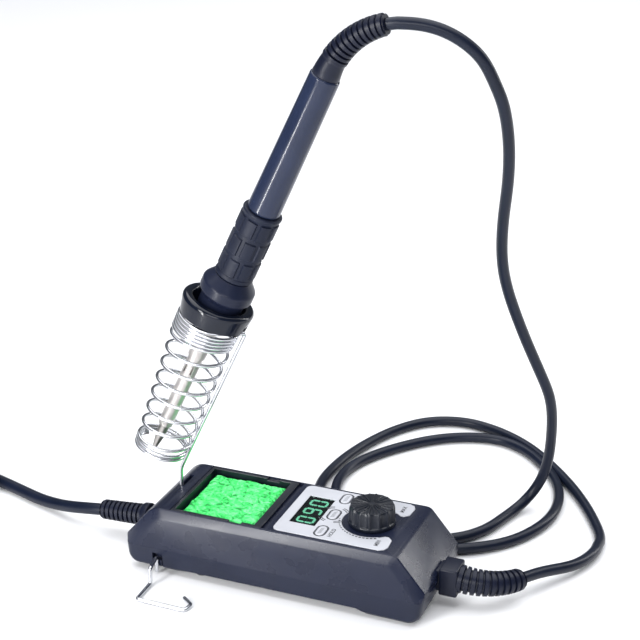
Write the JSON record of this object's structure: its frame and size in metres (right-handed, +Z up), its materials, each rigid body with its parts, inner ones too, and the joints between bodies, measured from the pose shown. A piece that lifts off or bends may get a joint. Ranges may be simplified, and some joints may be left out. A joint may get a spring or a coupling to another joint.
{
  "type": "soldering iron station",
  "caption": "Temperature-controlled soldering iron resting in a leaning wire-coil holder on a low dark base with a sponge tray, lit display, dial, push buttons and mains cord",
  "frame": {"origin": "on the table, below the middle of the whole object without its mains cord and plug", "axes": "+X along the base from the sponge to the control panel, +Y away from the user across the base, +Z up from the table"},
  "size_m": [0.456, 0.3281, 0.3135],
  "materials": {
    "case_plastic": "satin",
    "screw_steel": "satin",
    "foot_rubber": "matte",
    "tray_plastic": "satin",
    "sponge_foam": "porous",
    "plate_metal": "satin",
    "window_clear": "polished",
    "module_black": "matte",
    "board_green": "satin",
    "pot_metal": "satin",
    "knob_plastic": "satin",
    "button_plastic": "satin",
    "sink_aluminium": "satin",
    "fuse_glass": "polished",
    "capacitor_yellow": "satin",
    "capacitor_blue": "satin",
    "terminal_green": "satin",
    "wire_brown": "satin",
    "wire_red": "satin",
    "boot_rubber": "satin",
    "holder_steel": "polished",
    "collar_plastic": "polished",
    "handle_plastic": "satin",
    "grip_rubber": "matte",
    "front_plastic": "satin",
    "pipe_steel": "brushed",
    "element_ceramic": "matte",
    "tip_steel": "worn",
    "cord_rubber": "satin",
    "tie_plastic": "satin",
    "plug_plastic": "satin",
    "pin_brass": "nickel plated",
    "lit_digits": "lit"
  },
  "bodies": {
    "base": {"lower_shell": "case_plastic", "upper_shell": "case_plastic", "case_screws": "screw_steel", "rubber_feet": "foot_rubber", "faceplate": "plate_metal", "display_window": "window_clear", "display_module": "module_black", "display_digits": "lit_digits", "control_board": "board_green", "board_screws": "screw_steel", "potentiometer": "pot_metal", "tact_switches": "module_black", "power_triac": "module_black", "heat_sink": "sink_aluminium", "mains_fuse": "fuse_glass", "filter_capacitor": "capacitor_yellow", "supply_capacitor": "capacitor_blue", "terminal_blocks": "terminal_green", "inner_mains_wires": "wire_brown", "inner_iron_wires": "wire_red", "mains_boot": "boot_rubber", "iron_cord_boot": "boot_rubber", "holder_wire": "holder_steel", "holder_collar": "collar_plastic", "iron_cord": "cord_rubber", "mains_cord": "cord_rubber", "mains_coil": "cord_rubber", "coil_tie": "tie_plastic", "plug_lead": "cord_rubber", "plug_body": "plug_plastic", "plug_pins": "pin_brass"},
    "tray": {"sponge_tray": "tray_plastic"},
    "sponge": {"sponge": "sponge_foam"},
    "knob": {"control_knob": "knob_plastic", "knob_shaft": "pot_metal"},
    "button_up": {"button_up": "button_plastic"},
    "button_down": {"button_down": "button_plastic"},
    "button_hold": {"button_hold": "button_plastic"},
    "foot": {"wire_foot": "holder_steel"},
    "iron": {"handle_barrel": "handle_plastic", "grip_sleeve": "grip_rubber", "front_collar": "front_plastic", "pipe_ferrule": "pipe_steel", "heater_pipe": "pipe_steel", "heating_element": "element_ceramic", "iron_tip": "tip_steel", "handle_terminals": "board_green", "handle_boot": "boot_rubber"}
  },
  "joints": [
    {"name": "iron_lift", "type": "slide", "parent": "base", "child": "iron", "axis": [0.4226, 0, 0.9063], "range_m": [0, 0.115]},
    {"name": "knob_turn", "type": "hinge", "parent": "base", "child": "knob", "pos_m": [0.041, 0.016, 0.042], "axis": [0, 0, -1], "range_deg": [0, 280]},
    {"name": "tray_lift", "type": "slide", "parent": "base", "child": "tray", "axis": [0, 0, 1], "range_m": [0, 0.016]},
    {"name": "sponge_lift", "type": "slide", "parent": "tray", "child": "sponge", "axis": [0, 0, 1], "range_m": [0, 0.0115]},
    {"name": "foot_swing", "type": "hinge", "parent": "base", "child": "foot", "pos_m": [-0.073, -0.0174, 0.006], "axis": [0, 0, 1], "range_deg": [0, 66]},
    {"name": "button_up_press", "type": "slide", "parent": "base", "child": "button_up", "axis": [0, 0, -1], "range_m": [0, 0.0005], "stiffness_N_per_m": 400, "springref_m": -0.0005},
    {"name": "button_down_press", "type": "slide", "parent": "base", "child": "button_down", "axis": [0, 0, -1], "range_m": [0, 0.0005], "stiffness_N_per_m": 400, "springref_m": -0.0005},
    {"name": "button_hold_press", "type": "slide", "parent": "base", "child": "button_hold", "axis": [0, 0, -1], "range_m": [0, 0.0005], "stiffness_N_per_m": 400, "springref_m": -0.0005}
  ]
}
